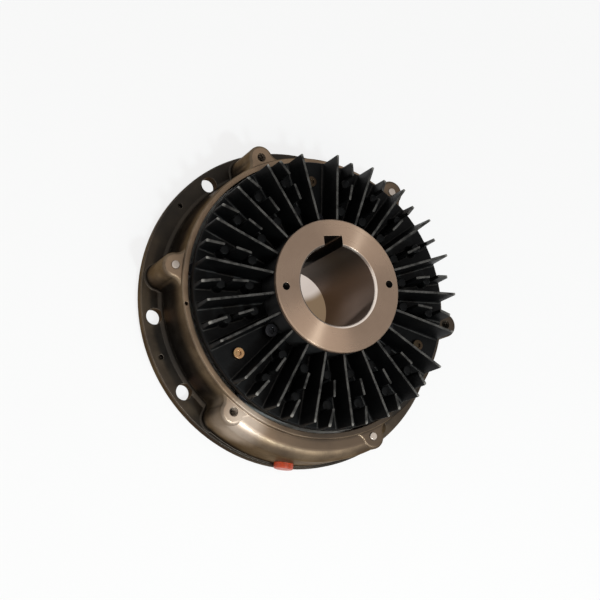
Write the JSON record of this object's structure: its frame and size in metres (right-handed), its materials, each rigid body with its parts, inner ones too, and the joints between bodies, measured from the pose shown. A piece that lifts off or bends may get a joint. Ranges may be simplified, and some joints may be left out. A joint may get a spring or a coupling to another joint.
{
  "type": "tension control brake",
  "caption": "Flange-mounted, air-applied disc brake with a finned rotor on a hollow keyed hub that clamps on a shaft to hold web tension.",
  "frame": {"origin": "centre of the mounting flange's back face, on the shaft axis", "axes": "+Z along the shaft axis from the mounting face to the finned rotor; -Y out through the air port; +X completes a right-handed frame"},
  "size_m": [0.264, 0.2665, 0.088],
  "materials": {
    "housing_casting": "dark warm grey-brown casting, semi-gloss, worn bright along its machined rim",
    "black_casting": "near-black painted casting, dull, with greyish worn fin edges",
    "machined_hub": "satin turned steel with fine concentric tool marks, warm in tone",
    "ground_steel": "ground steel",
    "turned_steel": "turned steel",
    "bearing_steel": "polished bearing steel",
    "spring_steel": "oil-black spring steel",
    "black_steel": "black-oxide screw steel",
    "plated_screw": "yellow-plated screw steel",
    "brass": "turned brass",
    "cast_aluminium": "machined aluminium casting",
    "friction_material": "matt brown friction composite",
    "seal_rubber": "black seal rubber",
    "red_plastic": "orange-red moulded plastic"
  },
  "bodies": {
    "housing": {"brake_housing": "housing_casting", "air_port_plug": "red_plastic", "lobe_dowels": "ground_steel", "rear_bearing_outer_ring": "bearing_steel", "front_bearing_outer_ring": "bearing_steel", "outer_spacer": "turned_steel", "housing_retaining_ring": "spring_steel", "spring_screws": "black_steel", "release_springs": "spring_steel"},
    "piston_set": {"piston": "cast_aluminium", "piston_outer_seal": "seal_rubber", "piston_inner_seal": "seal_rubber", "pressure_plate": "turned_steel", "friction_facings": "friction_material", "facing_screws": "brass"},
    "bearing_cages": {"rear_bearing_cage": "brass", "rear_bearing_balls": "bearing_steel", "front_bearing_cage": "brass", "front_bearing_balls": "bearing_steel"},
    "rotor": {"hub": "machined_hub", "finned_rotor": "black_casting", "wear_plate": "ground_steel", "wear_plate_screws": "plated_screw", "hub_screws": "black_steel", "rear_bearing_inner_ring": "bearing_steel", "front_bearing_inner_ring": "bearing_steel", "inner_spacer": "turned_steel", "hub_retaining_ring": "spring_steel"}
  },
  "joints": [
    {"name": "rotor_spin", "type": "hinge", "parent": "housing", "child": "rotor", "pos_m": [0, 0, 0.0245], "axis": [0, 0, 1], "continuous": true},
    {"name": "cage_spin", "type": "hinge", "parent": "housing", "child": "bearing_cages", "pos_m": [0, 0, 0.0245], "axis": [0, 0, 1], "continuous": true},
    {"name": "piston_stroke", "type": "slide", "parent": "housing", "child": "piston_set", "axis": [0, 0, 1], "range_m": [0, 0.0012], "stiffness_N_per_m": 20000, "springref_m": -0.002, "deforming": ["release_springs"]}
  ],
  "couplings": [
    {"joint": "cage_spin", "follows": "rotor_spin", "ratio": 0.4649}
  ]
}
